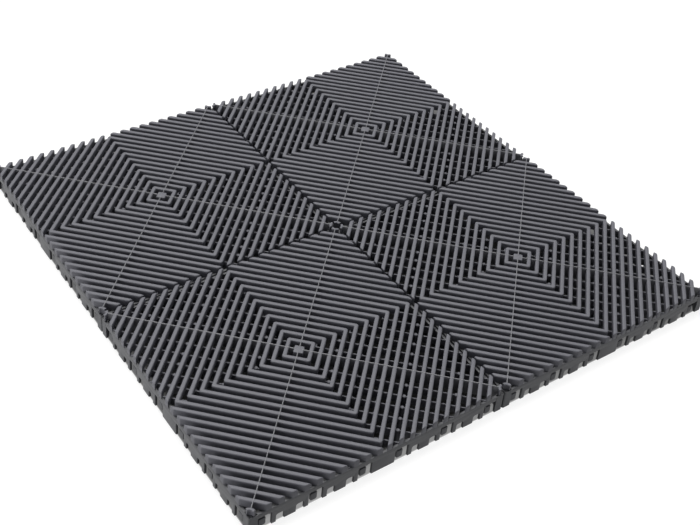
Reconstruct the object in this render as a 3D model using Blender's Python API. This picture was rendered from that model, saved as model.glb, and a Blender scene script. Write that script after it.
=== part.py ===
"""Interlocking ventilated floor tile, 400 mm square and 20 mm thick, moulded in grey plastic.

The tile is two by two cells, which share one mould and are held together by links under the top.
A cell has nested square ribs, turned 45 degrees, which run on as straight ribs into its corners.
Fine diagonal webs and deeper braces cross under the ribs, a round post stands on the floor under
the cell's middle, and a skirt with feet carries the edge. Pegs stand in sockets along the front
and left edges, and drop into the loops along the back and right edges of the next tile. The
moulding is kept as one object for each cell, with a slit of 0.3 mm at the links.

Metres, +Z up. The origin is under the middle of the whole outline, loops included, on the floor.
"""

import math

import bmesh
import bpy
from mathutils import Matrix

# Tile and cells
CELL = 0.200
CELL_GAP = 0.001
THICKNESS = 0.020

# Ribs of the walking surface
RIB_STEP = 0.00909
FIRST_RIB = 0.00283
RIB_WIDTH = 0.0029
RIB_DEPTH = 0.0056
NOSE_SETBACK = 0.0012

# Diagonal webs, braces and the post under the ribs
WEB_WIDTH = 0.0010
WEB_BOTTOM = 0.0090
BRACE_STEP = 0.0505
BRACE_WIDTH = 0.0018
BRACE_DEPTH = 0.0054
LEG_RADIUS = 0.0020

# Skirt, and the raised rim and the cup at each corner
SKIRT_WALL = 0.0020
CORNER_ROUND = 0.0010
RIM_RADIUS = 0.0042
RIM_WIDTH = 0.0012
RIM_MARGIN = 0.0016
CUP_LIP = 0.0005
CUP_DEPTH = 0.0050

# Sockets and feet along an edge
SOCKET_FIRST = 0.0144
SOCKET_STEP = 0.0370
SOCKET_WIDTH = 0.0105
SOCKET_TOP = 0.0106
SOCKET_DEPTH = 0.0090
NOTCH_WIDTH = 0.0058
NOTCH_TOP = 0.0064
FOOT_WIDTH = 0.0085

# Pegs and loops
PEG_WIDTH = 0.0046
PEG_THICKNESS = 0.0024
PEG_SETBACK = 0.0026
PEG_ARM = 0.0020
PEG_LIFT = 0.0008
LOOP_CLEARANCE = 0.0005
LOOP_REACH = 0.0078
LOOP_WALL = 0.0016
LOOP_HEIGHT = 0.0050

# Links between the cells
LINK_WIDTH = 0.0060
LINK_BOTTOM = 0.0020
LINK_TOP = 0.0090
LINK_SLIT = 0.0003

# How far pieces that are fused run into each other, and how far cutters stand clear
SEAT = 0.0008
CLEAR = 0.0020

HALF = (CELL - CELL_GAP) / 2
RIB_BOTTOM = THICKNESS - RIB_DEPTH
HALF_RIB = RIB_WIDTH * math.sqrt(2) / 2
POST_REACH = RIM_RADIUS + RIM_WIDTH / 2 + RIM_MARGIN
SIDES = {"right": 0, "back": 90, "left": 180, "front": 270}


def extrude(bm, outline, bottom, top):
    """Adds a closed prism: the outline, in plan, carried from one height to the other."""
    corners = [bm.verts.new((x, y, bottom)) for x, y in outline]
    lift(bm, [bm.faces.new(corners)], top)


def lift(bm, faces, top):
    """Extrudes level faces up to an exact height, so that pieces which meet there share one plane."""
    grown = bmesh.ops.extrude_face_region(bm, geom=faces)
    for item in grown["geom"]:
        if isinstance(item, bmesh.types.BMVert):
            item.co.z = top


def box(bm, low, high):
    outline = [(low[0], low[1]), (high[0], low[1]), (high[0], high[1]), (low[0], high[1])]
    extrude(bm, outline, low[2], high[2])


def turn(bm, first, degrees):
    """Turns the corners added since `first` about the cell's centre."""
    bm.verts.ensure_lookup_table()
    bmesh.ops.rotate(bm, verts=bm.verts[first:], matrix=Matrix.Rotation(math.radians(degrees), 3, "Z"))


def around(bm, add):
    """Adds the same shape in each of the cell's four quarters."""
    for degrees in SIDES.values():
        first = len(bm.verts)
        add(bm)
        turn(bm, first, degrees)


def helper(name, bm):
    """A tool for a Boolean: it is drawn as wire and left out of the render."""
    tool = piece(name, bm)
    tool.display_type = "WIRE"
    tool.hide_render = True
    return tool


def piece(name, bm):
    bmesh.ops.recalc_face_normals(bm, faces=bm.faces)
    mesh = bpy.data.meshes.new(name)
    bm.to_mesh(mesh)
    bm.free()
    obj = bpy.data.objects.new(name, mesh)
    bpy.context.scene.collection.objects.link(obj)
    return obj


def boolean(obj, tool, operation):
    modifier = obj.modifiers.new(f"{operation} {tool.name}", "BOOLEAN")
    modifier.operation = operation
    modifier.solver = "EXACT"
    modifier.object = tool


def rib_lines():
    """Half-diagonals of the ribs' centre lines, as far as the rim round the corner leaves room."""
    reach = 2 * HALF - math.sqrt(2) * (RIM_RADIUS + RIM_WIDTH) - HALF_RIB
    count = int((reach - FIRST_RIB) / RIB_STEP) + 1
    return [FIRST_RIB + k * RIB_STEP for k in range(count)]


def add_ring(bm, line):
    """A mitred square ring with its corners on the cell's axes."""
    inner, outer = line - HALF_RIB, line + HALF_RIB
    loops = []
    for radius in (inner, outer):
        ends = ((radius, 0), (0, radius), (-radius, 0), (0, -radius))
        loops.append([bm.verts.new((x, y, RIB_BOTTOM)) for x, y in ends])
    faces = []
    for a in range(4):
        b = (a + 1) % 4
        faces.append(bm.faces.new((loops[0][a], loops[1][a], loops[1][b], loops[0][b])))
    lift(bm, faces, THICKNESS)


def ribs(outer_sides):
    """The centre plate, the closed rings, and straight ribs that end on the skirt. At the tile's outer
    faces they stop short, so that a narrow ledge runs along the edge."""
    bm = bmesh.new()
    ends = [HALF - NOSE_SETBACK if side in outer_sides else HALF for side in SIDES]
    for line in rib_lines():
        inner, outer = line - HALF_RIB, line + HALF_RIB
        if inner <= HALF_RIB:
            extrude(bm, [(outer, 0), (0, outer), (-outer, 0), (0, -outer)], RIB_BOTTOM, THICKNESS)
        elif outer < HALF:
            add_ring(bm, line)
        elif inner > HALF:
            for degrees, x, y in zip(SIDES.values(), ends, ends[1:] + ends[:1]):
                first = len(bm.verts)
                extrude(bm, [(x, inner - x), (x, outer - x), (outer - y, y), (inner - y, y)], RIB_BOTTOM, THICKNESS)
                turn(bm, first, degrees)
    return helper("ribs", bm)


def webs():
    """Two thin diagonal webs under the ribs, which cross below the centre plate and reach the posts."""
    bm = bmesh.new()
    reach = math.sqrt(2) * HALF - POST_REACH + SEAT
    half = WEB_WIDTH / 2
    quarter = ((half, half), (reach, half), (reach, -half))
    outline = []
    for degrees in (0, -90, -180, -270):
        a = math.radians(degrees + 45)
        outline += [(x * math.cos(a) - y * math.sin(a), x * math.sin(a) + y * math.cos(a)) for x, y in quarter]
    extrude(bm, outline, WEB_BOTTOM, RIB_BOTTOM)
    return helper("webs", bm)


def add_braces(bm):
    """Chevrons that open towards the right edge, each arm parallel to a diagonal web."""
    half = BRACE_WIDTH * math.sqrt(2) / 2
    step = BRACE_STEP * math.sqrt(2)
    end = HALF - SKIRT_WALL + SEAT
    corner = step
    while corner + half < end - CLEAR:
        outer, inner = corner - half, corner + half
        outline = [(outer, 0), (end, outer - end), (end, inner - end), (inner, 0)]
        outline += [(end, end - inner), (end, end - outer)]
        extrude(bm, outline, RIB_BOTTOM - BRACE_DEPTH, RIB_BOTTOM)
        corner += step


def braces():
    bm = bmesh.new()
    around(bm, add_braces)
    return helper("braces", bm)


def leg():
    """The round post under the centre plate, down to the floor."""
    sides = 12
    turns = [2 * math.pi * k / sides for k in range(sides)]
    bm = bmesh.new()
    extrude(bm, [(LEG_RADIUS * math.cos(a), LEG_RADIUS * math.sin(a)) for a in turns], 0, RIB_BOTTOM)
    return helper("leg", bm)


def sockets():
    """Places of the sockets along an edge, from the middle of the cell outwards."""
    count = int((HALF - POST_REACH + SEAT - SOCKET_WIDTH / 2 - SOCKET_FIRST) / SOCKET_STEP) + 1
    return [SOCKET_FIRST + k * SOCKET_STEP for k in range(count)]


def feet():
    """Places of the wide feet, halfway between neighbouring sockets."""
    return [place + SOCKET_STEP / 2 for place in sockets()[:-1]]


def add_edge_cuts(bm, with_sockets):
    """Cutters for the right edge: low notches beside each wide foot and, if asked, tall sockets."""
    for sign in (1, -1):
        for place in feet():
            for side in (1, -1):
                y = sign * place + side * (FOOT_WIDTH + NOTCH_WIDTH) / 2
                low = (HALF - SKIRT_WALL - CLEAR, y - NOTCH_WIDTH / 2, -CLEAR)
                box(bm, low, (HALF + CLEAR, y + NOTCH_WIDTH / 2, NOTCH_TOP))
        if not with_sockets:
            continue
        for place in sockets():
            y = sign * place
            low = (HALF - SOCKET_DEPTH, y - SOCKET_WIDTH / 2, -CLEAR)
            box(bm, low, (HALF + CLEAR, y + SOCKET_WIDTH / 2, SOCKET_TOP))


def corner_arc(middle, radius):
    """A quarter circle round a point near the cell's corner, on the side of the cell's middle."""
    steps = 2
    turns = [math.pi + math.pi / 2 * k / steps for k in range(steps + 1)]
    return [(middle + radius * math.cos(a), middle + radius * math.sin(a)) for a in turns]


def add_cups(bm):
    """Blind cups in the tops of the corner posts, a lip inside the rim and the skirt's faces."""
    middle = HALF - CUP_LIP
    radius = RIM_RADIUS - RIM_WIDTH / 2 - 2 * CUP_LIP
    outline = corner_arc(middle, radius) + [(middle, middle)]
    around(bm, lambda mesh: extrude(mesh, outline, RIB_BOTTOM - CUP_DEPTH, RIB_BOTTOM + CLEAR))


def add_rim(bm):
    """A quarter ring about the cell's corner, level with the ribs and sunk into the post."""
    outline = corner_arc(HALF, RIM_RADIUS + RIM_WIDTH / 2)
    outline += reversed(corner_arc(HALF, RIM_RADIUS - RIM_WIDTH / 2))
    extrude(bm, outline, RIB_BOTTOM - SEAT, THICKNESS)


def add_pegs(bm):
    """Hooks behind the sockets of the right edge: an arm from the skirt, turned down as a peg."""
    back = HALF - PEG_SETBACK - PEG_THICKNESS
    front = HALF - PEG_SETBACK
    root = HALF - SKIRT_WALL + SEAT
    for sign in (1, -1):
        for place in sockets():
            y = sign * place - PEG_WIDTH / 2
            side = [(back, PEG_LIFT), (front, PEG_LIFT), (front, SOCKET_TOP), (root, SOCKET_TOP)]
            side += [(root, SOCKET_TOP + PEG_ARM), (back, SOCKET_TOP + PEG_ARM)]
            corners = [bm.verts.new((x, y, z)) for x, z in side]
            grown = bmesh.ops.extrude_face_region(bm, geom=[bm.faces.new(corners)])
            moved = [item for item in grown["geom"] if isinstance(item, bmesh.types.BMVert)]
            bmesh.ops.translate(bm, verts=moved, vec=(0, PEG_WIDTH, 0))


def add_loops(bm):
    """Loops on the right edge, at the same places as the sockets of the next tile."""
    half = SOCKET_WIDTH / 2 - LOOP_CLEARANCE
    root = HALF - SEAT
    tip = HALF + LOOP_REACH
    inside = half - LOOP_WALL
    shape = [(root, -half), (tip, -half), (tip, half), (root, half)]
    shape += [(root, inside), (tip - LOOP_WALL, inside), (tip - LOOP_WALL, -inside), (root, -inside)]
    for sign in (1, -1):
        for place in sockets():
            extrude(bm, [(x, y + sign * place) for x, y in shape], 0, LOOP_HEIGHT)


def add_links(bm):
    """Half links on the right edge, which stop short of the cell gap's middle by half a slit."""
    tip = HALF + (CELL_GAP - LINK_SLIT) / 2
    for sign in (1, -1):
        y = sign * feet()[-1]
        low = (HALF - SEAT, y - LINK_WIDTH / 2, LINK_BOTTOM)
        box(bm, low, (tip, y + LINK_WIDTH / 2, LINK_TOP))


def skirt_outline():
    """The cell's outline in plan, with small round corners."""
    steps = 2
    middle = HALF - CORNER_ROUND
    outline = []
    for quarter in range(4):
        for k in range(steps + 1):
            a = math.pi / 2 * (quarter + k / steps)
            sx, sy = ((1, 1), (-1, 1), (-1, -1), (1, -1))[quarter]
            outline.append((sx * middle + CORNER_ROUND * math.cos(a), sy * middle + CORNER_ROUND * math.sin(a)))
    return outline


def well():
    """The open space inside the skirt, with its corners cut off where the posts stand."""
    bm = bmesh.new()
    wall = HALF - SKIRT_WALL
    short = 2 * HALF - math.sqrt(2) * POST_REACH - wall
    outline = [(wall, -short), (wall, short), (short, wall), (-short, wall)]
    outline += [(-wall, short), (-wall, -short), (-short, -wall), (short, -wall)]
    extrude(bm, outline, -CLEAR, RIB_BOTTOM + CLEAR)
    return helper("well", bm)


def edge_tool(name, fittings):
    """One tool made of what each edge carries: (function, degrees to turn it by)."""
    bm = bmesh.new()
    for add, degrees in fittings:
        first = len(bm.verts)
        add(bm)
        turn(bm, first, degrees)
    return helper(name, bm)


def add_socketed_cuts(bm):
    add_edge_cuts(bm, True)


def add_plain_cuts(bm):
    add_edge_cuts(bm, False)


def plastic():
    material = bpy.data.materials.new("grey_plastic")
    material.use_nodes = True
    shader = material.node_tree.nodes["Principled BSDF"]
    shader.inputs["Base Color"].default_value = (0.19, 0.195, 0.205, 1)
    shader.inputs["Roughness"].default_value = 0.55
    return material


def cell(name, column, row, material):
    """One cell: peg edges face front and left, loop edges back and right, links face other cells."""
    cuts = [(add_cups, 0)]
    fittings = [(lambda bm: around(bm, add_rim), 0)]
    outer_sides = ("left" if column == 0 else "right", "front" if row == 0 else "back")
    for side, degrees in SIDES.items():
        if side not in outer_sides:
            fittings.append((add_links, degrees))
        elif side in ("left", "front"):
            cuts.append((add_socketed_cuts, degrees))
            fittings.append((add_pegs, degrees))
        else:
            cuts.append((add_plain_cuts, degrees))
            fittings.append((add_loops, degrees))
    bm = bmesh.new()
    extrude(bm, skirt_outline(), 0, RIB_BOTTOM)
    obj = piece(name, bm)
    obj.data.materials.append(material)
    tools = [(well(), "DIFFERENCE"), (edge_tool("cuts", cuts), "DIFFERENCE")]
    tools += [(edge_tool("fittings", fittings), "UNION"), (braces(), "UNION"), (leg(), "UNION")]
    tools += [(ribs(outer_sides), "UNION"), (webs(), "UNION")]
    for tool, operation in tools:
        tool.parent = obj
        boolean(obj, tool, operation)
    obj.location = ((column - 0.5) * CELL - LOOP_REACH / 2, (row - 0.5) * CELL - LOOP_REACH / 2, 0)


def main():
    for obj in list(bpy.data.objects):
        bpy.data.objects.remove(obj)
    material = plastic()
    cell("cell_front_left", 0, 0, material)
    cell("cell_front_right", 1, 0, material)
    cell("cell_back_left", 0, 1, material)
    cell("cell_back_right", 1, 1, material)


main()
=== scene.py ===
# %% [markdown]
# # A ventilated interlocking floor tile
#
# The real tile is one plastic moulding: two by two cells of nested ribs, carried by cross ribs and
# round posts, with a skirt of feet, sockets and pegs round its edge. This lesson makes it from plain
# numpy arrays. Nearly every shape in a moulding is a closed outline that is carried along something:
# along a bar, round a ring, or through the thickness of a wall. So one function that joins a stack of
# outlines into a closed surface makes almost all of it.

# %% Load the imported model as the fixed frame
import math

import bpy
import numpy as np
from mathutils import Matrix, Vector


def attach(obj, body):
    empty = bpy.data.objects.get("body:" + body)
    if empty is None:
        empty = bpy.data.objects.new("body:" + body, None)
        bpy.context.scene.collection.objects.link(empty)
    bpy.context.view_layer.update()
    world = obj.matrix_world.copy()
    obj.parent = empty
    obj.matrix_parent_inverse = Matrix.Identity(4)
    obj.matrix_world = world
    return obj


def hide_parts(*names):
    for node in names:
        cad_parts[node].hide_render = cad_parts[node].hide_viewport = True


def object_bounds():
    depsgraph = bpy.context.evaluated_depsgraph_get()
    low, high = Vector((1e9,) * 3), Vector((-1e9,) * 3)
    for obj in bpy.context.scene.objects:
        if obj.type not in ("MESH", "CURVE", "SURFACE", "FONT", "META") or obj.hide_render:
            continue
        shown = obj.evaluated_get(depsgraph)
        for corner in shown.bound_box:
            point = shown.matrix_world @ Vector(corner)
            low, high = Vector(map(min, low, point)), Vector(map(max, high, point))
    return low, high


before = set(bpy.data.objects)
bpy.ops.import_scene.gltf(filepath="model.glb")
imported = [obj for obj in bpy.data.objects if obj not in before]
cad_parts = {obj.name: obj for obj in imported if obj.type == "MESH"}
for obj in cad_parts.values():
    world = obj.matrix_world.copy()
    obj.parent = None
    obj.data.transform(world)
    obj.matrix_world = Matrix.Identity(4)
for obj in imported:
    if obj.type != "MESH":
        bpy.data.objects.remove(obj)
cad_box = [list(corner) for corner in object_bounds()]
NODES = sorted(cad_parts)
print("frame nodes:", NODES, "box in mm:", np.round(np.array(cad_box) * 1000, 2).tolist())

# %% [markdown]
# ## Sizes
#
# All lengths are in metres. They repeat the sizes of the solid model, so that each visible shape lies
# where the solid one does. A few differ by about a millimetre, because the photograph asked for it: the
# ribs run out to the faces of the walls, the cross ribs stand higher, the rims are wider, and the pegs
# sit nearer the face. The origin is under the middle of the whole outline, and the loops stick out on
# two sides only, so the tile's own middle lies a little to the front and left of the origin.

# %% Sizes of the tile
CELL = 0.200
HALF = 0.0995
RIB_STEP = 0.00909
FIRST_RIB = 0.00283
RIB_HALF = 0.00145
RIB_TOP = 0.0198
LEDGE = 0.0144
LINE_TOP = 0.0200
NOSE_SETBACK = 0.0002
WALL = 0.0020
CORNER_ROOM = 0.0054  # the radius that the ribs leave free at a cell's corner
SINK = 0.0003  # how far a shape reaches down into the one that it stands on
FRONT_LEFT = np.array(cad_box[0][:2]) + HALF
CELL_MIDDLES = FRONT_LEFT + CELL * np.array([(0, 0), (1, 0), (0, 1), (1, 1)])
QUARTER_TURNS = np.radians([0, 90, 180, 270])
print("cell middles in mm:", np.round(CELL_MIDDLES * 1000, 2).tolist())

# %% [markdown]
# ## From a stack of outlines to a closed surface
#
# A shape is a pair: an array of points, and a list of arrays of faces, one array for each number of
# corners. `sleeve` takes K stacks at once, so a hundred ribs cost one call. `copies` turns and shifts a
# shape, also without a loop. Signed volume tells whether the faces look outwards, and a shape that is
# inside out has its faces reversed.


# %% Grids, sleeves and copies
def volume(points, faces):
    """Signed volume: the sum over triangles of a . (b x c) / 6, with each face cut into a fan."""
    total = 0.0
    for polygons in faces:
        first = points[polygons[:, 0]]
        for k in range(1, polygons.shape[1] - 1):
            side = np.cross(points[polygons[:, k]], points[polygons[:, k + 1]])
            total += np.einsum("ij,ij->", first, side) / 6
    return total


def sleeve(stacks, ring=False):
    """Joins outlines into closed surfaces. stacks has shape (K, M, S, 3): K stacks of M outlines of S points.
    Point j of outline i meets points j + 1 and i + 1, and the first and last outline are filled, or
    meet each other where ring is true."""
    stacks = np.asarray(stacks, float)
    count, rows, around, _ = stacks.shape
    index = np.arange(count * rows * around).reshape(count, rows, around)
    near = index if ring else index[:, :-1]
    far = np.roll(index, -1, axis=1) if ring else index[:, 1:]
    quads = np.stack([near, np.roll(near, -1, axis=2), np.roll(far, -1, axis=2), far], axis=-1)
    faces = [quads.reshape(-1, 4)]
    if not ring:
        faces += [index[:, 0, ::-1], index[:, -1]]
    points = stacks.reshape(-1, 3)
    if volume(points, faces) < 0:
        faces = [polygons[:, ::-1] for polygons in faces]
    return points, faces


def copies(shape, turns, shifts):
    """One copy for each turn about Z, in radians, and for each shift. It has x' = x cos a - y sin a + dx and
    y' = x sin a + y cos a + dy."""
    points, faces = shape
    turns, shifts = np.atleast_1d(turns), np.atleast_2d(shifts)
    cos, sin = np.cos(turns)[:, None], np.sin(turns)[:, None]
    x, y = points[:, 0], points[:, 1]
    turned = np.stack([x * cos - y * sin, x * sin + y * cos], axis=-1)
    placed = turned[:, None] + shifts[None, :, None, :2]
    heights = np.broadcast_to(points[:, 2:], placed.shape[:-1] + (1,))
    starts = np.arange(len(turns) * len(shifts)) * len(points)
    moved = [(polygons[None] + starts[:, None, None]).reshape(-1, polygons.shape[1]) for polygons in faces]
    return np.concatenate([placed, heights], axis=-1).reshape(-1, 3), moved


def in_all_cells(shape, turns=QUARTER_TURNS):
    return copies(shape, turns, CELL_MIDDLES)


def make_piece(name, shapes, material):
    """One mesh object from a list of shapes. Edges that bend by more than 40 degrees stay crisp."""
    starts = np.cumsum([0] + [len(points) for points, _ in shapes])
    points = np.concatenate([points for points, _ in shapes])
    polygons = [group + start for (_, faces), start in zip(shapes, starts) for group in faces]
    corners = np.concatenate([group.ravel() for group in polygons])
    sizes = np.concatenate([np.full(len(group), group.shape[1]) for group in polygons])
    mesh = bpy.data.meshes.new(name)
    mesh.vertices.add(starts[-1])
    mesh.vertices.foreach_set("co", points.astype(np.float32).ravel())
    mesh.loops.add(len(corners))
    mesh.loops.foreach_set("vertex_index", corners.astype(np.int32))
    mesh.polygons.add(len(sizes))
    mesh.polygons.foreach_set("loop_start", np.concatenate([[0], np.cumsum(sizes)[:-1]]).astype(np.int32))
    mesh.update(calc_edges=True)
    mesh.shade_smooth()
    mesh.set_sharp_from_angle(angle=math.radians(40))
    mesh.materials.append(material)
    piece = bpy.data.objects.new(name, mesh)
    bpy.context.scene.collection.objects.link(piece)
    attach(piece, "root")
    print(f"{name}: {len(shapes)} kinds of shape, {int((sizes - 2).sum())} triangles")
    return piece


# %% [markdown]
# ## The plastic
#
# The moulding is matte dark grey plastic with a faint blue cast. Its walking ribs have a fine
# spark-eroded grain, and their crowns are painted a shade paler: a painted highlight, with painted shade
# on everything lower. The thin raised lines come from polished grooves in the mould, so they are
# smoother, and they are painted paler as a painted highlight. The skirt, the corner posts and the locks
# are painted darker and less blue, as painted shade. So one function makes three close plastics, lit and
# shaded copies of one plastic. Shader maths reads best as plain expressions, so a small class wraps a
# socket and turns operators into Math nodes.


# %% A socket that can be added and multiplied
class Socket:
    def __init__(self, tree, socket):
        self.tree, self.socket = tree, socket

    def math(self, operation, other, swap=False):
        node = self.tree.nodes.new("ShaderNodeMath")
        node.operation = operation
        for value, entry in zip((other, self) if swap else (self, other), node.inputs):
            if isinstance(value, Socket):
                self.tree.links.new(value.socket, entry)
            else:
                entry.default_value = value
        return Socket(self.tree, node.outputs[0])

    def __add__(self, other):
        return self.math("ADD", other)

    def __sub__(self, other):
        return self.math("SUBTRACT", other)

    def __rsub__(self, other):
        return self.math("SUBTRACT", other, swap=True)

    def __mul__(self, other):
        return self.math("MULTIPLY", other)

    def __gt__(self, other):
        return self.math("GREATER_THAN", other)

    def __abs__(self):
        return self.math("ABSOLUTE", 0.0)

    def maximum(self, other):
        return self.math("MAXIMUM", other)

    __radd__ = __add__
    __rmul__ = __mul__


# %% A node tree that takes any node
class Nodes:
    """Adds nodes to a tree. What isn't a Math node comes from `node`."""

    def __init__(self, tree):
        self.tree = tree

    def node(self, kind, output=0, settings=(), sockets=(), **values):
        """Adds a node, sets its settings, and then sets or links its inputs: those in `sockets` by their
        place, since two of them may share a name, and the others by name. Returns the asked output."""
        made = self.tree.nodes.new(kind)
        for key, value in dict(settings).items():
            setattr(made, key, value)
        for place, value in dict(sockets).items():
            self.join(value, made.inputs[place])
        for key, value in values.items():
            self.join(value, made.inputs[key.replace("_", " ")])
        return Socket(self.tree, made.outputs[output])

    def seen(self):
        """1 where the camera sees a place, straight or in a gloss, and 0 for the light that it throws."""
        camera_ray = self.node("ShaderNodeLightPath", "Is Camera Ray")
        return camera_ray.maximum(self.node("ShaderNodeLightPath", "Is Glossy Ray"))

    def mixed(self, factor, first, second):
        """Mix Shader: `first` where the factor is 0, and `second` where it is 1."""
        return self.node("ShaderNodeMixShader", sockets={0: factor, 1: first, 2: second})

    def join(self, value, entry):
        if isinstance(value, Socket):
            self.tree.links.new(value.socket, entry)
        else:
            entry.default_value = value


SMOOTH = {"interpolation_type": "SMOOTHSTEP", "clamp": True}


def new_material(name):
    material = bpy.data.materials.new(name)
    material.use_nodes = True
    return material, Nodes(material.node_tree)


# %% Three plastics
PAINTED_LIGHT_HEIGHT = 0.0016


def plastic(name, dark, light, roughness, grain, gloss):
    """Moulded plastic. Two close greys are mixed by 0.35 of soft blotches, 0.45 of fine specks and 0.20 of a
    painted highlight on the crowns, which rises from 0 to 1 over the top 1.6 mm and leaves everything lower
    in painted shade. The specks also make the grain of the surface."""
    material, nodes = new_material(name)
    place = nodes.node("ShaderNodeTexCoord", "Object")
    height = nodes.node("ShaderNodeSeparateXYZ", "Z", Vector=place)
    blotch = nodes.node("ShaderNodeTexNoise", "Fac", Vector=place, Scale=45.0, Detail=3.0, Roughness=0.6)
    speck = nodes.node("ShaderNodeTexNoise", "Fac", Vector=place, Scale=900.0, Detail=2.0, Roughness=0.7)
    heights = {"From_Min": RIB_TOP - PAINTED_LIGHT_HEIGHT, "From_Max": RIB_TOP}
    # Painted highlight and shade: every piece is painted paler over the top 1.6 mm and darker below it.
    crown = nodes.node("ShaderNodeMapRange", settings=SMOOTH, Value=height, **heights)
    tone_and_painted_light = 0.35 * blotch + 0.45 * speck + 0.20 * crown
    greys = {0: tone_and_painted_light, 6: (*dark, 1), 7: (*light, 1)}
    colour = nodes.node("ShaderNodeMix", 2, settings={"data_type": "RGBA"}, sockets=greys)
    bump = nodes.node("ShaderNodeBump", Strength=grain, Distance=0.0001, Height=speck)
    surface = material.node_tree.nodes["Principled BSDF"]
    nodes.join(colour, surface.inputs["Base Color"])
    nodes.join(roughness + 0.12 * blotch, surface.inputs["Roughness"])
    nodes.join(bump, surface.inputs["Normal"])
    nodes.join(gloss, surface.inputs["Specular IOR Level"])
    return material


rib_plastic = plastic("grained_grey_plastic", (0.080, 0.081, 0.097), (0.108, 0.109, 0.128), 0.55, 0.35, 0.6)
# The raised lines' plastic is smoother for real, and painted paler than the ribs as a painted highlight.
smooth_highlit_plastic = plastic("smooth_painted_highlight_plastic", (0.125, 0.126, 0.138), (0.160, 0.161, 0.175), 0.42, 0.12, 0.6)
# The skirt, the posts and the locks are the same plastic painted darker and less blue, as painted shade.
skirt_shaded_plastic = plastic("skirt_painted_shade_plastic", (0.056, 0.057, 0.063), (0.075, 0.077, 0.084), 0.50, 0.20, 0.5)
print("materials:", rib_plastic.name, smooth_highlit_plastic.name, skirt_shaded_plastic.name)

# %% [markdown]
# ## The walking ribs
#
# Each cell has a small square plate in its middle and ten square rings round it, turned by 45 degrees.
# Past the cell's edges a ring can't close, so it becomes a straight rib across each corner. All share
# one cross-section: an upright bar with a softly rounded crown. A ring is that section carried round a
# square with rounded corners, so it is written once, for all ten rings together.


# %% The rib's cross-section
def crown_section(half, bottom, top, radius, steps=4):
    """Points (u, z) round a bar: straight sides, and two quarter circles of this radius at the top."""
    turn = np.linspace(0, math.pi / 2, steps)
    right = np.stack([half - radius + radius * np.cos(turn), top - radius + radius * np.sin(turn)], axis=-1)
    left = right[::-1] * (-1, 1)
    return np.concatenate([[(half, bottom)], right, left, [(-half, bottom)]])


RIB_ROUNDING, FINE_ROUNDING = 0.0008, 0.0002
rib_section = crown_section(RIB_HALF, LEDGE - SINK, RIB_TOP, RIB_ROUNDING, steps=5)
print("rib section has", len(rib_section), "points")


# %% Rings with rounded corners
def ring_stacks(lines, section, inner=0.0002, outer=0.0017, steps=4):
    """For a ring of half-diagonal L, the section point (u, z) runs on a square of half-diagonal
    L + u sqrt 2 whose corners are arcs of radius r(u), from inner to outer across the bar: along a
    corner's direction it lies at L + u sqrt 2 - r sqrt 2 + r cos t, and beside it at r sin t."""
    u, z = section[:, 0], section[:, 1]
    r = inner + (outer - inner) * (u + RIB_HALF) / (2 * RIB_HALF)
    t = np.linspace(-math.pi / 4, math.pi / 4, steps)[:, None]
    ahead = lines[:, None, None] + math.sqrt(2) * (u - r) + r * np.cos(t)
    beside = np.broadcast_to(r * np.sin(t), ahead.shape)
    turns = QUARTER_TURNS[None, :, None, None]
    x = ahead[:, None] * np.cos(turns) - beside[:, None] * np.sin(turns)
    y = ahead[:, None] * np.sin(turns) + beside[:, None] * np.cos(turns)
    heights = np.broadcast_to(z, x.shape)
    return np.stack([x, y, heights], axis=-1).reshape(len(lines), -1, len(section), 3)


reach = RIB_HALF * math.sqrt(2)
last_line = 2 * HALF - math.sqrt(2) * CORNER_ROOM - reach
line_count = int((last_line - FIRST_RIB) / RIB_STEP) + 1
lines = FIRST_RIB + RIB_STEP * np.arange(line_count)
ring_lines = lines[1:][lines[1:] + reach < HALF]
rings = sleeve(ring_stacks(ring_lines, rib_section), ring=True)
print(len(ring_lines), "rings, up to", round(ring_lines[-1] * 1000, 1), "mm from the middle")


# %% The centre plate
def square_outline(half_diagonal, radius, steps=4):
    """A square on its corner: four arcs of this radius, each on one half-axis."""
    t = np.linspace(-math.pi / 4, math.pi / 4, steps)
    ahead = half_diagonal - math.sqrt(2) * radius + radius * np.cos(t)
    beside = radius * np.sin(t)
    turns = QUARTER_TURNS[:, None]
    x = ahead * np.cos(turns) - beside * np.sin(turns)
    y = ahead * np.sin(turns) + beside * np.cos(turns)
    return np.column_stack([x.ravel(), y.ravel()])


def stacked(outlines, heights):
    """One stack of plan outlines, each at its height."""
    levels = [np.column_stack([plan, np.full(len(plan), z)]) for plan, z in zip(outlines, heights)]
    return np.array([levels])


plate_half = FIRST_RIB + reach
PLATE_CORNER, PLATE_INSET, PLATE_DROP = 0.0008, 0.0007, 0.0005
edge_turn = np.linspace(0, math.pi / 2, 4)
plate_halves = [plate_half] + [plate_half - PLATE_INSET * (1 - math.cos(a)) for a in edge_turn]
plate_plans = [square_outline(half, PLATE_CORNER) for half in plate_halves]
plate_heights = [LEDGE - SINK] + [RIB_TOP - PLATE_DROP + PLATE_DROP * math.sin(a) for a in edge_turn]
plate = sleeve(stacked(plate_plans, plate_heights))
print("centre plate is", round(plate_half * math.sqrt(2) * 1000, 1), "mm along its side")


# %% [markdown]
# A corner rib lies on x + y = L in its quarter of the cell, and both its ends are cut by the cell's
# edges. The end drops a little and is rounded, crisp where it stands flush in the front and left walls,
# and fuller between the cells and on the two other edges. An end is three numbers: how far out it
# stops, how long its rounded nose is, and its slant.


# %% Corner ribs with rounded noses
NOSE_LENGTH = 0.0027  # a nose as long as this would end in a point
CROWN_DROP = 0.6


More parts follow.
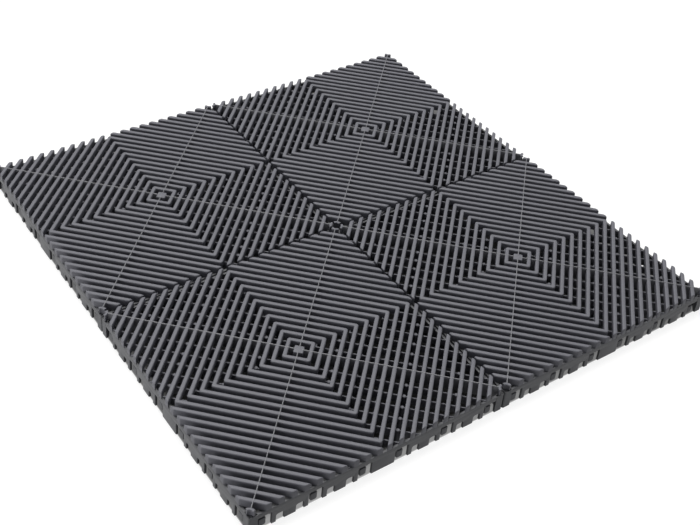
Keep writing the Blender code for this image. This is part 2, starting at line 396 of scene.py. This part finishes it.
def nose_layers(lines, section, end, nose, slant, steps=5):
    """A point u off the centre line, at the end that stops at the distance E from the middle, lies E - n (1 -
    sin a) - s (h - u) / sqrt 2 ahead, and L + u sqrt 2 minus that beside. The slant s turns the end from one
    that follows the cell's edge, at 0, to one square to the rib, at 1. On the way to the tip u shrinks by
    the share (n / 2.7 mm)^2 (1 - cos a), and the crown sinks by 0.6 n (1 - cos a)."""
    a = np.linspace(0, math.pi / 2, steps)[:, None]
    bend = 1 - np.cos(a)
    u = section[:, 0] * (1 - (nose / NOSE_LENGTH) ** 2 * bend)
    lift = np.clip((section[:, 1] - LEDGE) / (RIB_TOP - LEDGE), 0, 1)
    z = section[:, 1] - lift * CROWN_DROP * nose * bend
    ahead = end - nose * (1 - np.sin(a)) - slant * (RIB_HALF - u) / math.sqrt(2)
    beside = lines[:, None, None] + math.sqrt(2) * u - ahead
    return [np.broadcast_to(part, beside.shape) for part in (ahead, beside, z)]


def corner_rib_stacks(lines, section, ends):
    """Both ends in one stack: the second is the first with x and y swapped and its layers in turned order."""
    ahead, beside, z = nose_layers(lines, section, *ends[0])
    first = np.stack([ahead, beside, z], axis=-1)[:, ::-1]
    ahead, beside, z = nose_layers(lines, section, *ends[1])
    return np.concatenate([first, np.stack([beside, ahead, z], axis=-1)], axis=1)


FLUSH_END = (HALF - NOSE_SETBACK, 0.0007, 0.0)
INNER_END = (HALF, 0.0014, 0.2)
OUTER_END = (HALF, 0.0016, 0.45)
corner_lines = lines[lines - reach > HALF]
corner_ribs = []
for middle in CELL_MIDDLES:
    on_right, on_back = middle > CELL_MIDDLES.mean(axis=0)
    ends = [OUTER_END if last else INNER_END for last in (on_right, on_back)]
    ends += [INNER_END if last else FLUSH_END for last in (on_right, on_back)]
    for turn, *pair in zip(QUARTER_TURNS, ends, ends[1:] + ends[:1]):
        corner_ribs.append(copies(sleeve(corner_rib_stacks(corner_lines, rib_section, pair)), turn, middle))
walking_ribs = make_piece(
    "walking_ribs", [in_all_cells(rings, turns=0), in_all_cells(plate, turns=0), *corner_ribs], rib_plastic
)
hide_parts(*NODES)
print(len(corner_lines), "straight ribs in each of the 16 corners")

# %% [markdown]
# ## Fine lines, cross ribs and posts
#
# A thin raised line runs out from the plate along each diagonal and stands just above the ribs. Lower
# down, cross ribs run beside it every 10.1 mm. They start on the cell's axes, where they meet their
# mirror images, and end in the edge wall. Each carries round posts that stand on the floor.

# %% Raised lines
LINE_HALF = 0.0003
LINE_START = 0.0022
LOW = 0.0090  # the underside of the lines and cross ribs
RIM_RADIUS = 0.0042


def bar_stack(section, start, end):
    """Carries the section (v, z) along the diagonal x = y, between two distances from the middle."""
    along = np.array([start, end])[:, None]
    v, z = section[:, 0], section[:, 1]
    x, y = (along + v) / math.sqrt(2), (along - v) / math.sqrt(2)
    return np.stack([x, y, np.broadcast_to(z, x.shape)], axis=-1)[None]


line_section = crown_section(LINE_HALF, LOW, LINE_TOP, FINE_ROUNDING, steps=3)
raised_line = sleeve(bar_stack(line_section, LINE_START, math.sqrt(2) * HALF - RIM_RADIUS))
raised_lines = make_piece("raised_lines", [in_all_cells(raised_line)], smooth_highlit_plastic)

# %% Cross ribs
ROW_STEP = 0.0101
ROW_TOP = 0.0152
ROW_HALF = 0.00045


def cross_rib_stacks(rows, section):
    """A row lies at the offset t beside the diagonal. A point v across it has the offset t + v = w, starts
    where it meets an axis of the cell, at the distance |w|, and ends in the wall, at E sqrt 2 - |w|."""
    v, z = section[:, 0], section[:, 1]
    w = rows[:, None] + v
    end = math.sqrt(2) * (HALF - WALL / 2) - np.abs(w)
    along = np.stack([np.abs(w), end], axis=1)
    x, y = (along + w[:, None]) / math.sqrt(2), (along - w[:, None]) / math.sqrt(2)
    return np.stack([x, y, np.broadcast_to(z, x.shape)], axis=-1)


rows = ROW_STEP * np.arange(1, 7)
rows = np.concatenate([-rows[::-1], rows])
cross_section = crown_section(ROW_HALF, LOW, ROW_TOP, FINE_ROUNDING, steps=3)
quarter_of_ribs = sleeve(cross_rib_stacks(rows, cross_section))
cross_ribs = make_piece("cross_ribs", [in_all_cells(quarter_of_ribs)], rib_plastic)
print(len(rows), "cross ribs in a quarter of a cell")

# %% Posts
POST_RADIUS = 0.0014
COLUMN_FIRST = 0.0082
COLUMN_STEP = 0.01685


def post_stacks(spots, radii, heights, sides=10):
    """A stack of circles for each spot, one circle for each pair of radius and height."""
    a = 2 * math.pi * np.arange(sides) / sides
    rims = np.stack([np.cos(a), np.sin(a)], axis=-1) * np.asarray(radii)[:, None, None]
    plan = spots[:, None, None] + rims
    z = np.broadcast_to(np.asarray(heights)[:, None, None], plan.shape[:-1] + (1,))
    return np.concatenate([plan, z], axis=-1)


POST_GAP, POST_SPAN = 0.001, math.sqrt(2) * (HALF - 0.009)
columns = COLUMN_FIRST + COLUMN_STEP * np.arange(9)
column, row = [grid.ravel() for grid in np.meshgrid(columns, rows)]
inside = (np.abs(row) + POST_GAP < column) & (column + np.abs(row) < POST_SPAN)
column, row = column[inside], row[inside]
spots = np.stack([column + row, column - row], axis=-1) / math.sqrt(2)
post_radii = [POST_RADIUS - 0.0004, POST_RADIUS, POST_RADIUS, POST_RADIUS - 0.0003]
posts = sleeve(post_stacks(spots, post_radii, [0.0, 0.0005, ROW_TOP, ROW_TOP + 0.0003]))
support_posts = make_piece("support_posts", [in_all_cells(posts)], rib_plastic)
print(len(spots), "posts in a quarter of a cell")

# %% [markdown]
# ## Walls from an outline
#
# A wall of the skirt is flat, so its outline is drawn once in the plane of the wall and carried through
# its thickness. The edges are softened by shrinking the outline near both faces: each corner moves
# inwards along the mitre of its two sides.


# %% Insets and slabs
def inset(outline, depth):
    """Moves every side of a closed outline inwards by depth. The corner between unit normals m and n
    moves by depth (m + n) / (1 + m . n). Points that run clockwise are handled by the area's sign."""
    ahead = np.roll(outline, -1, axis=0) - outline
    ahead = ahead / np.linalg.norm(ahead, axis=1, keepdims=True)
    area = np.sum(outline[:, 0] * np.roll(outline[:, 1], -1) - np.roll(outline[:, 0], -1) * outline[:, 1])
    normal = np.stack([-ahead[:, 1], ahead[:, 0]], axis=-1) * np.sign(area)
    before = np.roll(normal, 1, axis=0)
    return outline + depth * (normal + before) / (1 + np.sum(normal * before, axis=1, keepdims=True))


def slab(outline, low, high, radius, stand, steps=3):
    """Carries an outline (s, z) from depth low to high. Both edges are rounded: at an angle a the outline
    has shrunk by r (1 - cos a) and lies r (1 - sin a) from the face. `stand` places an outline in space."""
    a = np.linspace(0, math.pi / 2, steps)
    depths = np.concatenate([low + radius * (1 - np.sin(a))[::-1], high - radius * (1 - np.sin(a))])
    shrink = np.concatenate([radius * (1 - np.cos(a))[::-1], radius * (1 - np.cos(a))])
    layers = [stand(inset(outline, cut), depth) for cut, depth in zip(shrink, depths)]
    return sleeve(np.array([layers]))


def upright(plan, depth):
    """The outline (s, z) stands in a plane of constant y."""
    return np.stack([plan[:, 0], np.full(len(plan), depth), plan[:, 1]], axis=-1)


def lying(plan, height):
    """The outline (x, y) lies in a plane of constant z."""
    return np.column_stack([plan, np.full(len(plan), height)])


# %% The comb outline of an edge
SOCKETS = np.array([0.0144, 0.0514, 0.0884])
FEET = (SOCKETS[:-1] + SOCKETS[1:]) / 2
SOCKET_WIDTH, SOCKET_TOP = 0.0105, 0.0106
NOTCH_WIDTH, NOTCH_TOP, FOOT_WIDTH = 0.0058, 0.0064, 0.0085
SOCKET_CORNER, NOTCH_CORNER = 0.0008, 0.0014
WALL_SETBACK = 0.0012  # a wall ends this far inside the corner post


def opening(middle, width, top, radius, steps=4):
    """An arch, from its left foot up and over to its right foot, with rounded upper corners."""
    a = np.linspace(0, math.pi / 2, steps)
    left = np.stack([middle - width / 2 + radius * (1 - np.cos(a)), top - radius * (1 - np.sin(a))], axis=-1)
    right = np.stack([2 * middle - left[::-1, 0], left[::-1, 1]], axis=-1)
    return np.concatenate([[(middle - width / 2, 0)], left, right, [(middle + width / 2, 0)]])


def comb(with_sockets):
    """The wall's outline: its openings from left to right along the floor, and back along the ledge."""
    notch = (FOOT_WIDTH + NOTCH_WIDTH) / 2
    places = np.concatenate([FEET - notch, FEET + notch])
    arches = [(place, NOTCH_WIDTH, NOTCH_TOP, NOTCH_CORNER) for place in [*places, *-places]]
    if with_sockets:
        arches += [(place, SOCKET_WIDTH, SOCKET_TOP, SOCKET_CORNER) for place in [*SOCKETS, *-SOCKETS]]
    edge = HALF - WALL_SETBACK
    floor_line = np.concatenate([opening(*arch) for arch in sorted(arches)])
    return np.concatenate([[(-edge, LEDGE), (-edge, 0)], floor_line, [(edge, 0), (edge, LEDGE)]])


EDGE_RADIUS = 0.0003
wall_face = 0.00015 - HALF
socket_wall = slab(comb(True), wall_face, WALL - HALF, EDGE_RADIUS, upright)
plain_wall = slab(comb(False), wall_face, WALL - HALF, EDGE_RADIUS, upright)
print("comb outline:", len(comb(True)), "points with sockets,", len(comb(False)), "without")

# %% Which wall stands where
FRONT, RIGHT, BACK, LEFT = QUARTER_TURNS
front_cells, back_cells = CELL_MIDDLES[:2], CELL_MIDDLES[2:]
left_cells, right_cells = CELL_MIDDLES[[0, 2]], CELL_MIDDLES[[1, 3]]
walls = [
    copies(socket_wall, FRONT, front_cells),
    copies(socket_wall, LEFT, left_cells),
    copies(plain_wall, [FRONT], back_cells),
    copies(plain_wall, [LEFT], right_cells),
    copies(plain_wall, [BACK], CELL_MIDDLES),
    copies(plain_wall, [RIGHT], CELL_MIDDLES),
]
skirt_walls = make_piece("skirt_walls", walls, skirt_shaded_plastic)

# %% [markdown]
# ## Corner posts, cups and rims
#
# Where the edge walls of a cell meet, a solid post fills the corner. Its top has a cup, which keeps the
# same lip inside both faces. Seen from the cup's middle, every point of the post's outline can be
# reached in a straight line, so outline and cup can share the same bearings, and the sleeve runs up the
# outside, over the top and down into the cup. A raised rim curves round the cup's inner side. It is pale
# on top, partly from the painted highlight on all crowns, and cut away below on the side of the cup, so
# the hollow under it looks dark.

# %% Corner posts
POST_REACH, POST_WING, POST_CORNER = 0.0064, 0.0015, 0.0010
RIM_INNER, RIM_OUTER = 0.0028, 0.0048
CUP_LIP, CUP_DEPTH = 0.0005, 0.0050
CUP_MIDDLE, CUP_RADIUS = HALF - 0.0016, RIM_OUTER - 0.0012
post_corner = np.linspace(0, math.pi / 2, 5)
post_plan = np.concatenate(
    [
        [(HALF, HALF - POST_REACH)],
        HALF - POST_CORNER + POST_CORNER * np.stack([np.cos(post_corner), np.sin(post_corner)], axis=-1),
        [(HALF - POST_REACH, HALF)],
        [(HALF - POST_REACH, HALF - POST_WING), (HALF - POST_WING, HALF - POST_REACH)],
    ]
)


def resampled(outline, count):
    """Points at equal steps of length round a closed outline."""
    closed = np.vstack([outline, outline[:1]])
    length = np.concatenate([[0], np.cumsum(np.linalg.norm(np.diff(closed, axis=0), axis=1))])
    places = np.linspace(0, length[-1], count, endpoint=False)
    return np.stack([np.interp(places, length, closed[:, k]) for k in (0, 1)], axis=-1)


def cup_outline(bearing, lip):
    """How far the cup reaches from its middle in a direction u: to the lips beside both faces, and to the
    circle |p - corner| = R under the rim. A soft minimum, (sum of t^-8)^(-1/8), rounds its corners."""
    u = np.stack([np.cos(bearing), np.sin(bearing)], axis=-1)
    to_faces = (HALF - lip - CUP_MIDDLE) / np.maximum(u, 0.05)
    offset = np.full(2, CUP_MIDDLE - HALF)
    ahead = u @ offset
    radius = CUP_RADIUS - lip
    to_rim = np.sqrt(ahead**2 - offset @ offset + radius**2) - ahead
    reach = (np.sum(to_faces**-8.0, axis=1) + to_rim**-8.0) ** (-1 / 8)
    return CUP_MIDDLE + reach[:, None] * u


post_outline = resampled(post_plan, 48)
bearing = np.arctan2(post_outline[:, 1] - CUP_MIDDLE, post_outline[:, 0] - CUP_MIDDLE)
softened = CUP_MIDDLE + (post_outline - CUP_MIDDLE) * 0.97
cup_top = cup_outline(bearing, CUP_LIP)
cup_bottom = cup_outline(bearing, CUP_LIP + 0.0003)
post_levels = [post_outline, post_outline, softened, cup_top, cup_bottom]
corner_post = sleeve(stacked(post_levels, [0.0, LEDGE - 0.0002, LEDGE, LEDGE, LEDGE - CUP_DEPTH]))
print("corner post has", len(post_outline), "points round it")


# %% Rims
def rim_stack(radius, section, short=0.12, steps=9):
    """Carries the section (u, z) round the cell's corner, from pi to 3 pi / 2, and stops short at both ends."""
    a = np.linspace(math.pi + short, 1.5 * math.pi - short, steps)[:, None]
    x = HALF + (radius + section[:, 0]) * np.cos(a)
    y = HALF + (radius + section[:, 0]) * np.sin(a)
    return np.stack([x, y, np.broadcast_to(section[:, 1], x.shape)], axis=-1)[None]


RIM_ROUNDING = 0.0006
rim_section = crown_section((RIM_OUTER - RIM_INNER) / 2, LEDGE - SINK, RIB_TOP, RIM_ROUNDING)
undercut = [(-0.0010, RIB_TOP - 0.0010), (-0.0002, RIB_TOP - 0.0016), (-0.0002, LEDGE - SINK)]
rim_section = np.concatenate([rim_section[:-1], undercut])
rim = sleeve(rim_stack((RIM_OUTER + RIM_INNER) / 2, rim_section))
corner_rims = make_piece("corner_rims", [in_all_cells(rim)], rib_plastic)
corner_posts = make_piece("corner_posts", [in_all_cells(corner_post)], skirt_shaded_plastic)

# %% [markdown]
# ## Pegs and loops
#
# Behind each socket a peg hangs from the top of the opening: an arm that turns down as a slim neck, and
# a wider block in front of it. On the other two edges a loop lies on the floor at each of the same
# places, and the next tile's peg drops into it. All are flat outlines with soft edges, so the slab makes
# them too.

# %% Pegs
ARM_FRONT, NECK_FRONT, NECK_BACK = 0.0012, 0.0024, 0.0040
ARM_TOP, NECK_BOTTOM, NECK_HALF = 0.0126, 0.0060, 0.0018
peg_side = np.array(
    [
        (ARM_FRONT, SOCKET_TOP),
        (ARM_FRONT, ARM_TOP),
        (NECK_BACK, ARM_TOP),
        (NECK_BACK, NECK_BOTTOM),
        (NECK_FRONT, NECK_BOTTOM),
        (NECK_FRONT, SOCKET_TOP),
    ]
)


def sideways(plan, depth):
    """The outline (depth behind the wall's face, z) stands in a plane of constant x."""
    return np.stack([np.full(len(plan), depth), -HALF + plan[:, 0], plan[:, 1]], axis=-1)


neck = slab(peg_side, -NECK_HALF, NECK_HALF, EDGE_RADIUS, sideways)
BLOCK_LEFT, BLOCK_RIGHT, BLOCK_TOP = -0.0030, 0.0019, 0.0067
BLOCK_FRONT, BLOCK_BACK = 0.0016, 0.0032
TIP_RADIUS, TIP_MIDDLE = 0.0012, 0.0020
tip = TIP_RADIUS * np.stack([np.sin(edge_turn), -np.cos(edge_turn)], axis=-1)
block_front = np.concatenate(
    [
        [(BLOCK_LEFT, BLOCK_TOP), (BLOCK_LEFT, TIP_MIDDLE + 0.0002)],
        (BLOCK_LEFT + TIP_RADIUS, TIP_MIDDLE) + tip[::-1] * (-1, 1),
        (BLOCK_RIGHT - TIP_RADIUS, TIP_MIDDLE) + tip,
        [(BLOCK_RIGHT, TIP_MIDDLE + 0.0002), (BLOCK_RIGHT, BLOCK_TOP)],
    ]
)
block = slab(block_front, -HALF + BLOCK_FRONT, -HALF + BLOCK_BACK, EDGE_RADIUS, upright)
peg_shifts = np.concatenate([SOCKETS, -SOCKETS])[:, None] * (1, 0)
edge_of_pegs = [copies(shape, 0, peg_shifts) for shape in (neck, block)]
pegs = [copies(shape, FRONT, front_cells) for shape in edge_of_pegs]
pegs += [copies(shape, LEFT, left_cells) for shape in edge_of_pegs]
lock_pegs = make_piece("lock_pegs", pegs, skirt_shaded_plastic)

# %% Loops
LOOP_REACH, LOOP_ROOT, LOOP_HEIGHT = 0.0078, -0.0008, 0.0050
LOOP_BAR, LOOP_CORNER, LOOP_GAP = 0.0016, 0.0012, 0.0005
half_loop = SOCKET_WIDTH / 2 - LOOP_GAP
corner_arc = LOOP_CORNER * np.stack([np.cos(edge_turn), np.sin(edge_turn)], axis=-1)
outer_right = (half_loop - LOOP_CORNER, LOOP_REACH - LOOP_CORNER) + corner_arc
outer_right = np.concatenate([[(half_loop, LOOP_ROOT)], outer_right])
hole_left = np.array([(-half_loop + LOOP_BAR, LOOP_ROOT), (-half_loop + LOOP_BAR, LOOP_REACH - LOOP_BAR)])
loop_plan = np.concatenate([outer_right, outer_right[::-1] * (-1, 1), hole_left, hole_left[::-1] * (-1, 1)])
loop = slab(loop_plan + (0, HALF), 0.0, LOOP_HEIGHT, EDGE_RADIUS, lying)
edge_of_loops = copies(loop, 0, peg_shifts)
loops = [copies(edge_of_loops, 0, back_cells), copies(edge_of_loops, -math.pi / 2, right_cells)]
lock_loops = make_piece("lock_loops", loops, skirt_shaded_plastic)

# %% [markdown]
# ## Links between the cells
#
# The four cells are one moulding. Low down, short bridges cross the narrow gap between their walls.

# %% Links
LINK_HALF, LINK_BOTTOM, LINK_TOP = 0.0030, 0.0020, 0.0090
LINK_START, LINK_END = HALF - 0.0008, HALF + 0.0018
link_front = np.array(
    [(-LINK_HALF, LINK_BOTTOM), (LINK_HALF, LINK_BOTTOM), (LINK_HALF, LINK_TOP), (-LINK_HALF, LINK_TOP)]
)
link = slab(link_front, LINK_START, LINK_END, FINE_ROUNDING, upright)
link_shifts = np.concatenate([FEET, -FEET])[:, None] * (1, 0)
edge_of_links = copies(link, 0, link_shifts)
links = [copies(edge_of_links, 0, front_cells), copies(edge_of_links, -math.pi / 2, left_cells)]
cell_links = make_piece("cell_links", links, skirt_shaded_plastic)

# %% [markdown]
# ## Floor, light and camera
#
# The tile lies on a white floor in soft light. The floor looks white to the camera, but it throws back
# little light, so the walls keep their depth. Under the tile the floor is painted almost black, a painted
# shadow, as dark as the gaps are in the photograph. Just inside the edges it glows a mid grey for the
# camera, a painted half shade, which shows through the openings of the skirt and gets darker to the right
# along the front. A large lamp hangs overhead and a little behind, so the crowns are pale, together with
# the plastic's painted highlight, and the near sides of the ribs are dark. A weaker one stands low on the
# left, and the sky fills the rest.

# %% Floor
FLOOR_HALF = 6.0
floor_mesh = bpy.data.meshes.new("studio_floor")
floor_corners = FLOOR_HALF * np.array([(-1, -1, 0), (1, -1, 0), (1, 1, 0), (-1, 1, 0)])
floor_mesh.from_pydata(floor_corners.tolist(), [], [(0, 1, 2, 3)])
floor = bpy.data.objects.new("studio_floor", floor_mesh)
bpy.context.scene.collection.objects.link(floor)

white_floor, white = new_material("white_floor")
place = white.node("ShaderNodeTexCoord", "Object")
east = white.node("ShaderNodeSeparateXYZ", "X", Vector=place)
north = white.node("ShaderNodeSeparateXYZ", "Y", Vector=place)
middle_x, middle_y = CELL_MIDDLES.mean(axis=0)
side_way, front_way = abs(east - middle_x), abs(north - middle_y)
away = side_way.maximum(front_way)
front_side = front_way > side_way


def rising(low, high):
    """0 where the floor lies deeper under the tile than `low`, and 1 past `high`, both from the middle."""
    return white.node("ShaderNodeMapRange", settings=SMOOTH, Value=away, From_Min=low, From_Max=high)


def flat_paint(grey):
    return white.node("ShaderNodeBsdfDiffuse", Color=(grey, grey, grey, 1))


# %% The floor's paints
glow = white.node("ShaderNodeEmission", Color=(1, 1, 1, 1), Strength=0.86)
lit = white.node("ShaderNodeAddShader", sockets={0: flat_paint(0.22), 1: glow})
# Painted half shade: just inside the edges the floor glows this grey for the camera, paler on the front and
# back edges, where it darkens to the right.
painted_opening_shade = 0.16 + front_side * (0.08 - 0.45 * east)
half_shade = white.node("ShaderNodeEmission", Color=painted_opening_shade, Strength=1.0)
seen = white.seen()
edge = 2 * HALF
# Painted shadow: under the tile the floor is painted near black, 0.03, and rises to the glowing half shade
# between 14 and 3 mm inside the edges.
under = white.mixed(rising(edge - 0.014, edge - 0.003) * seen, flat_paint(0.03), half_shade)
outside = white.mixed(seen, flat_paint(0.20), lit)
white.join(
    white.mixed(rising(edge - 0.0012, edge), under, outside),
    white_floor.node_tree.nodes["Material Output"].inputs["Surface"],
)
floor_mesh.materials.append(white_floor)
print("floor is", 2 * FLOOR_HALF, "m wide")

# %% Sky
world = bpy.data.worlds.new("studio")
bpy.context.scene.world = world
world.use_nodes = True
sky = Nodes(world.node_tree)
background = world.node_tree.nodes["Background"]
sky.join((0.95, 0.97, 1.0, 1), background.inputs["Color"])
sky.join(0.22, background.inputs["Strength"])
fill = Socket(world.node_tree, background.outputs[0])
backdrop = sky.node("ShaderNodeBackground", Color=(1, 1, 1, 1), Strength=1.0)
sky.join(sky.mixed(sky.seen(), fill, backdrop), world.node_tree.nodes["World Output"].inputs["Surface"])
print("sky fill:", round(background.inputs["Strength"].default_value, 2))


# %% Lamps
def softbox(name, place, size, energy):
    """A round area lamp that faces the tile: its -Z axis points at the origin."""
    data = bpy.data.lights.new(name, "AREA")
    data.shape, data.size, data.energy = "DISK", size, energy
    data.color = (1.0, 0.99, 0.97)
    lamp = bpy.data.objects.new(name, data)
    bpy.context.scene.collection.objects.link(lamp)
    lamp.location = place
    lamp.rotation_euler = (-Vector(place)).to_track_quat("-Z", "Y").to_euler()
    return lamp


lamps = [
    softbox("overhead_softbox", (0.1, 0.6, 2.15), size=1.2, energy=50),
    softbox("left_softbox", (-1.9, 0.3, 0.2), size=0.8, energy=24),
]
print("lamps:", [lamp.name for lamp in lamps])

# %% [markdown]
# The camera looks down at about 33 degrees. The tile sits low in the photograph's frame, as if the
# picture had been cropped, and a small lens shift puts it there. The lens and the shift are worked out
# from pixels, so the picture's width and height come first.

# %% Camera
WIDTH, HEIGHT, SENSOR = 700, 525, 36
FOCAL_PIXELS, DISTANCE = 1186.8177, 1.0349904
AZIMUTH, ELEVATION, ROLL = -0.631224, 0.582051, 0.076936
AIM = np.array([0.2600242, 0.3202212])
PRINCIPAL = (314.73, 129.65)
tile_corner = FRONT_LEFT - CELL / 2
level = math.cos(ELEVATION)
back_way = np.array([math.sin(AZIMUTH) * level, -math.cos(AZIMUTH) * level, math.sin(ELEVATION)])
eye = np.array([*(tile_corner + AIM), RIB_TOP]) + DISTANCE * back_way
right = np.cross(-back_way, (0, 0, 1))
right = right / np.linalg.norm(right)
up = np.cross(right, -back_way)
right, up = right * math.cos(ROLL) + up * math.sin(ROLL), up * math.cos(ROLL) - right * math.sin(ROLL)
camera_data = bpy.data.cameras.new("camera")
camera_data.sensor_width = SENSOR
camera_data.lens = FOCAL_PIXELS * SENSOR / WIDTH
camera_data.shift_x = (WIDTH / 2 - PRINCIPAL[0]) / WIDTH
camera_data.shift_y = (PRINCIPAL[1] - HEIGHT / 2) / WIDTH
camera = bpy.data.objects.new("camera", camera_data)
bpy.context.scene.collection.objects.link(camera)
camera.matrix_world = Matrix.Translation(eye) @ Matrix(np.stack([right, up, back_way], axis=1)).to_4x4()
bpy.context.scene.camera = camera
bpy.context.scene.view_settings.view_transform = "Standard"
print("camera at", np.round(eye, 3).tolist(), "lens", round(camera_data.lens, 1), "mm")
